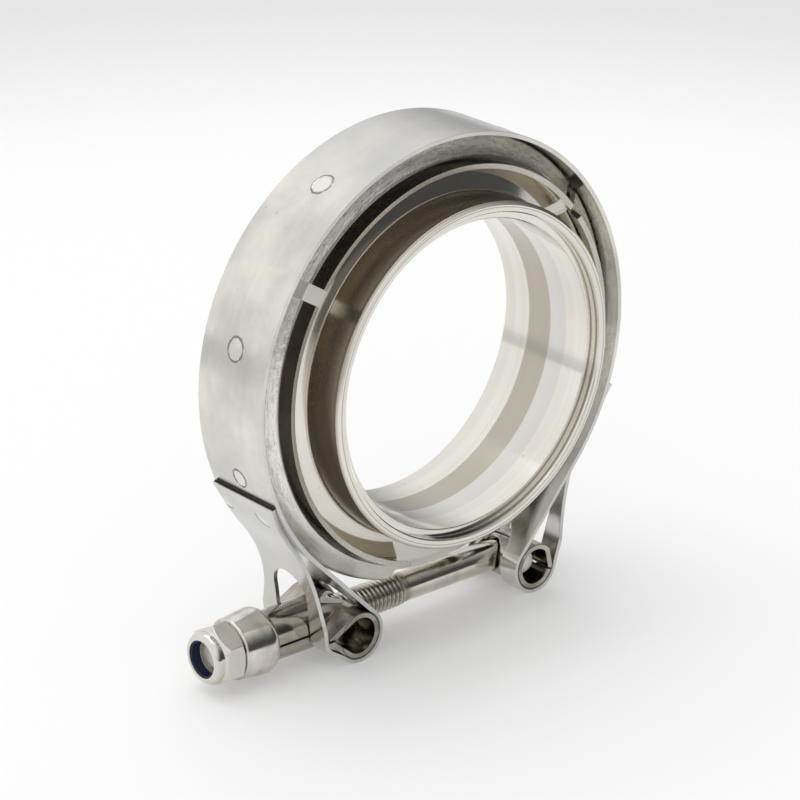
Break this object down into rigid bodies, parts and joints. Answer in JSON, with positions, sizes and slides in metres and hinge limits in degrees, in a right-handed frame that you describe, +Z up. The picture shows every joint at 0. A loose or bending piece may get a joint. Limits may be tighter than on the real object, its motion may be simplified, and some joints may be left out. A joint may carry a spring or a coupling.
{
  "type": "v band clamp",
  "caption": "V band clamp joining a pair of round pipe flanges, with pressed v segments, looped band ends, t-bolt and lock nut.",
  "frame": {"origin": "on the flanges' bore axis, at the plane where the two flanges meet", "axes": "+Y along the bore towards the back, -X along the bolt towards its nut, +Z up"},
  "size_m": [0.1186, 0.0332, 0.1206],
  "materials": {
    "band_steel": "rolled stainless strip with a satin face and sheared edges",
    "segment_steel": "pressed stainless sheet, scuffed along the bends, bright inside the lip",
    "flange_steel": "turned stainless steel, fine turning marks and a polished bore",
    "trunnion_steel": "rolled stainless sheet with tumbled edges",
    "bolt_steel": "cold formed stainless bolt with a rolled thread",
    "collar_steel": "turned stainless collar, satin",
    "nut_steel": "cold formed stainless nut, bright flats",
    "nylon": "dark blue nylon"
  },
  "bodies": {
    "clamp": {"band": "band_steel", "v_segment_top": "segment_steel", "v_segment_left": "segment_steel", "v_segment_right": "segment_steel", "front_flange": "flange_steel", "rear_flange": "flange_steel", "nut_trunnion": "trunnion_steel", "bolt_trunnion": "trunnion_steel", "t_bolt": "bolt_steel"},
    "thrust_collar": {"collar": "collar_steel"},
    "nut": {"lock_nut": "nut_steel", "nylon_insert": "nylon"}
  },
  "joints": [
    {"name": "nut_travel", "type": "slide", "parent": "clamp", "child": "thrust_collar", "axis": [-0.9998, 0, 0.0192], "range_m": [0, 0.00375]},
    {"name": "nut_turn", "type": "hinge", "parent": "thrust_collar", "child": "nut", "pos_m": [-0.06002, 0, -0.05718], "axis": [-0.9998, 0, 0.0192], "range_deg": [0, 1080]}
  ],
  "couplings": [
    {"joint": "nut_travel", "follows": "nut_turn", "m_per_rad": 0.00019894}
  ]
}
